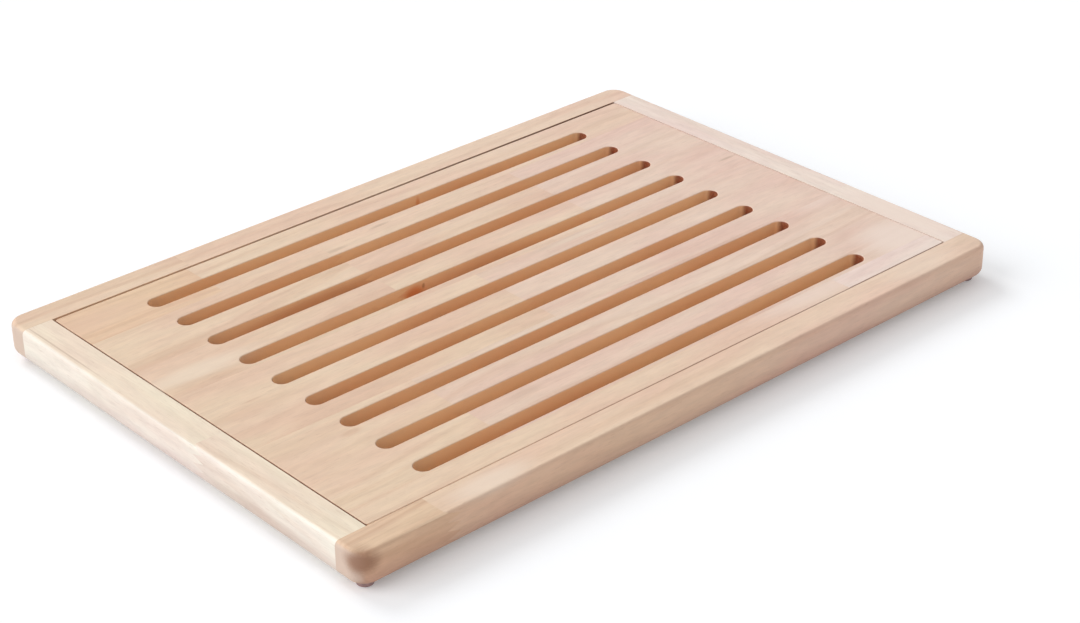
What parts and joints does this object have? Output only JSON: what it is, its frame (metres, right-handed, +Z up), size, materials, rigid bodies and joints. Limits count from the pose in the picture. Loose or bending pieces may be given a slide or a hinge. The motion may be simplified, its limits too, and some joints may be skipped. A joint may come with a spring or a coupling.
{
  "type": "bread board",
  "caption": "Wooden bread cutting board: a slotted grid lies flush in a shallow crumb tray framed by round-edged rails on small rubber feet, and lifts out to empty the crumbs.",
  "frame": {"origin": "under the board's centre, on the surface that its feet stand on", "axes": "+X along the board's long side and its slots, +Y across it towards the far long rail, +Z up"},
  "size_m": [0.475, 0.322, 0.024],
  "materials": {
    "frame_wood": "fine-sanded pale hardwood, lightly oiled",
    "grid_wood": "fine-sanded pale hardwood, lightly oiled, with darker heartwood figure",
    "floor_panel": "sanded plywood",
    "dowel_wood": "raw turned hardwood",
    "foot_rubber": "matt moulded rubber"
  },
  "bodies": {
    "tray": {"long_rail_near_block_1": "frame_wood", "long_rail_near_block_2": "frame_wood", "long_rail_far_block_1": "frame_wood", "long_rail_far_block_2": "frame_wood", "short_rail_left_block_1": "frame_wood", "short_rail_left_block_2": "frame_wood", "short_rail_right_block_1": "frame_wood", "short_rail_right_block_2": "frame_wood", "tray_floor": "floor_panel", "dowel_near_left_inner": "dowel_wood", "dowel_near_left_outer": "dowel_wood", "dowel_near_right_inner": "dowel_wood", "dowel_near_right_outer": "dowel_wood", "dowel_far_left_inner": "dowel_wood", "dowel_far_left_outer": "dowel_wood", "dowel_far_right_inner": "dowel_wood", "dowel_far_right_outer": "dowel_wood", "foot_near_left": "foot_rubber", "foot_near_right": "foot_rubber", "foot_far_left": "foot_rubber", "foot_far_right": "foot_rubber"},
    "grid": {"grid_stave_1_block_1": "grid_wood", "grid_stave_1_block_2": "grid_wood", "grid_stave_2_block_1": "grid_wood", "grid_stave_2_block_2_bar_1": "grid_wood", "grid_stave_2_block_2_bar_2": "grid_wood", "grid_stave_2_block_2_bar_3": "grid_wood", "grid_stave_2_block_2_bar_4": "grid_wood", "grid_stave_2_block_3": "grid_wood", "grid_stave_3_block_1": "grid_wood", "grid_stave_3_block_2": "grid_wood", "grid_stave_4_block_1": "grid_wood", "grid_stave_4_block_2": "grid_wood", "grid_stave_5_block_1": "grid_wood", "grid_stave_5_block_2": "grid_wood"}
  },
  "joints": [
    {"name": "grid_lift", "type": "slide", "parent": "tray", "child": "grid", "axis": [0, 0, 1], "range_m": [0, 0.06]}
  ]
}
